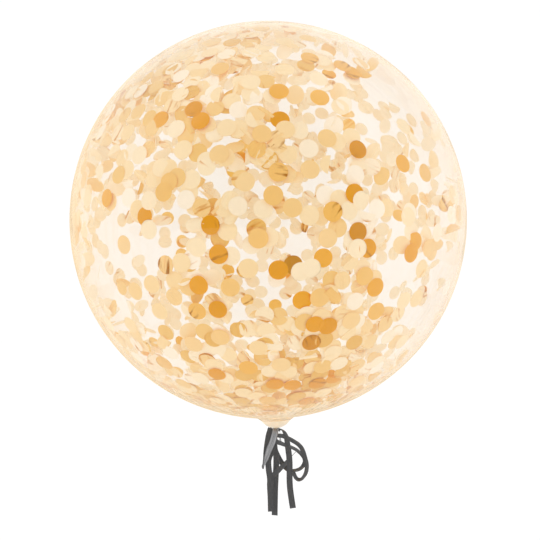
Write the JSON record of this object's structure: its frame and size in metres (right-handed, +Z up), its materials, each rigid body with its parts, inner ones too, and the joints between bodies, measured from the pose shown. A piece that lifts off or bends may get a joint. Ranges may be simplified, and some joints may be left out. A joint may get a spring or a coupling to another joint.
{
  "type": "bubble balloon",
  "caption": "Clear ball-shaped bubble balloon, its gathered neck tied with a loose ribbon bow whose tails hang free below.",
  "frame": {"origin": "middle of the flat cut end of the neck, where the balloon is held", "axes": "+Z up through the middle of the ball, -Y towards the front of the bow, ribbons hanging towards -Z"},
  "size_m": [0.6096, 0.6096, 0.7662],
  "materials": {
    "clear_film": "clear glossy stretched film, see-through",
    "satin_ribbon": "charcoal satin weave with a soft sheen",
    "peach_paper": "matt tissue discs sealed inside the ball",
    "gold_foil": "creased gold foil discs sealed inside the ball"
  },
  "bodies": {
    "root": {"bubble_film": "clear_film", "ribbon_tie": "satin_ribbon", "ribbon_loop_left": "satin_ribbon", "ribbon_loop_outer": "satin_ribbon", "ribbon_loop_inner": "satin_ribbon", "ribbon_tail_left": "satin_ribbon", "ribbon_tail_middle": "satin_ribbon", "ribbon_tail_right": "satin_ribbon", "ribbon_tail_turned": "satin_ribbon"}
  },
  "joints": []
}
